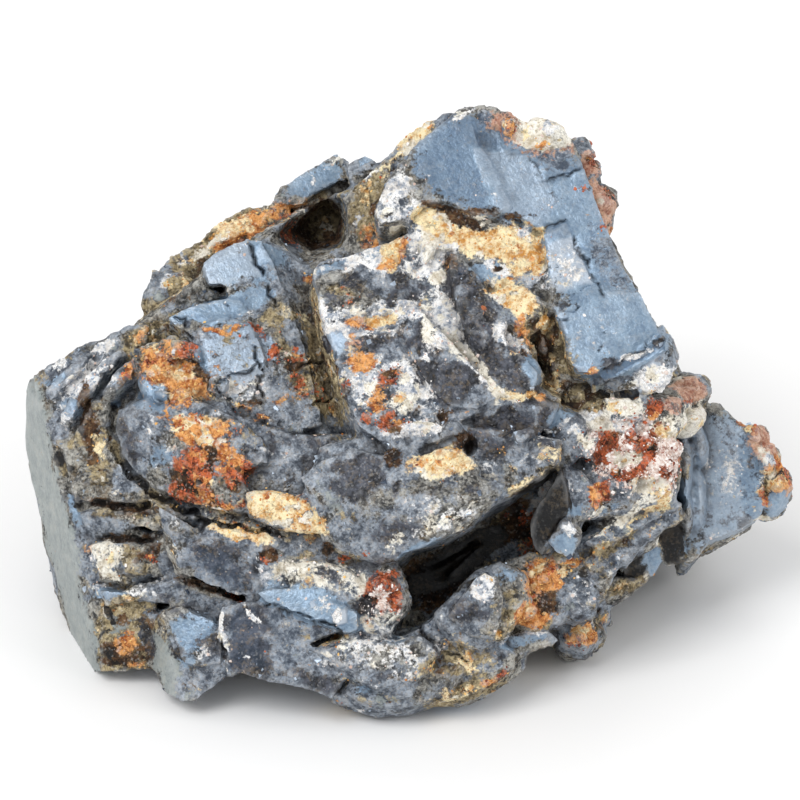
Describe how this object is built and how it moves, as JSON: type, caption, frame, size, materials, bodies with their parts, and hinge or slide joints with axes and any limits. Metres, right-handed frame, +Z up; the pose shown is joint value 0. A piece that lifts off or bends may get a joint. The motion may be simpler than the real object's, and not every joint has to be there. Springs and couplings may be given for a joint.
{
  "type": "galena specimen",
  "caption": "Hand-sized mass of intergrown lead-grey cubes with ledges, pits and iron-stained crusts, standing on a flat base.",
  "frame": {"origin": "on the flat base, below the middle of the display side", "axes": "+Z up from the base, +X to the right of a viewer of the display side, -Y towards that viewer"},
  "size_m": [0.0619, 0.0557, 0.0405],
  "materials": {
    "galena": "dull metallic with ochre and rust crusts"
  },
  "bodies": {
    "root": {"galena_specimen": "galena"}
  },
  "joints": []
}
